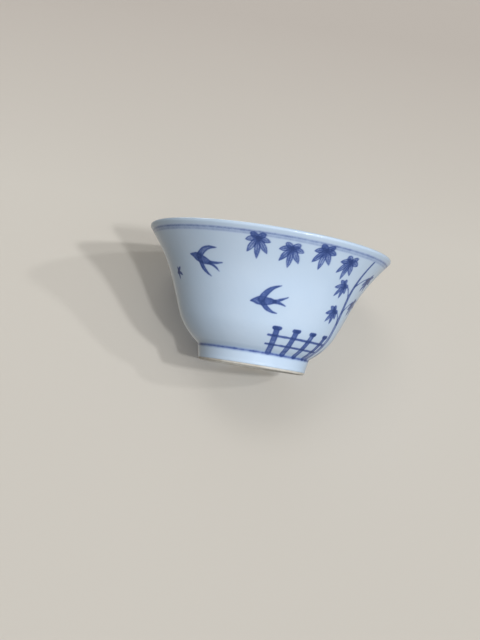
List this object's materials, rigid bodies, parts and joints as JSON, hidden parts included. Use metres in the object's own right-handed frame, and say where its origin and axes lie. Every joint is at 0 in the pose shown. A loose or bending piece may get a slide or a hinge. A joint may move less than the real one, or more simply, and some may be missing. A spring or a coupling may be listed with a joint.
{
  "type": "teacup",
  "caption": "Small bell-shaped porcelain teacup with a flared rounded lip, a curved belly, a turned foot ring and no handle.",
  "frame": {"origin": "centre of the face that the cup stands on, under the foot ring", "axes": "+Z is the cup's axis, from the foot to the mouth; X and Y are any two square directions across it, with one of its two alike painted halves centred near -Y"},
  "size_m": [0.088, 0.088, 0.0456],
  "materials": {
    "glazed_porcelain": "glossy clear glaze, pale blue-white",
    "bare_porcelain": "unglazed, matt"
  },
  "bodies": {
    "root": {"bowl": "glazed_porcelain", "foot_ring": "glazed_porcelain", "foot_rim": "bare_porcelain"}
  },
  "joints": []
}
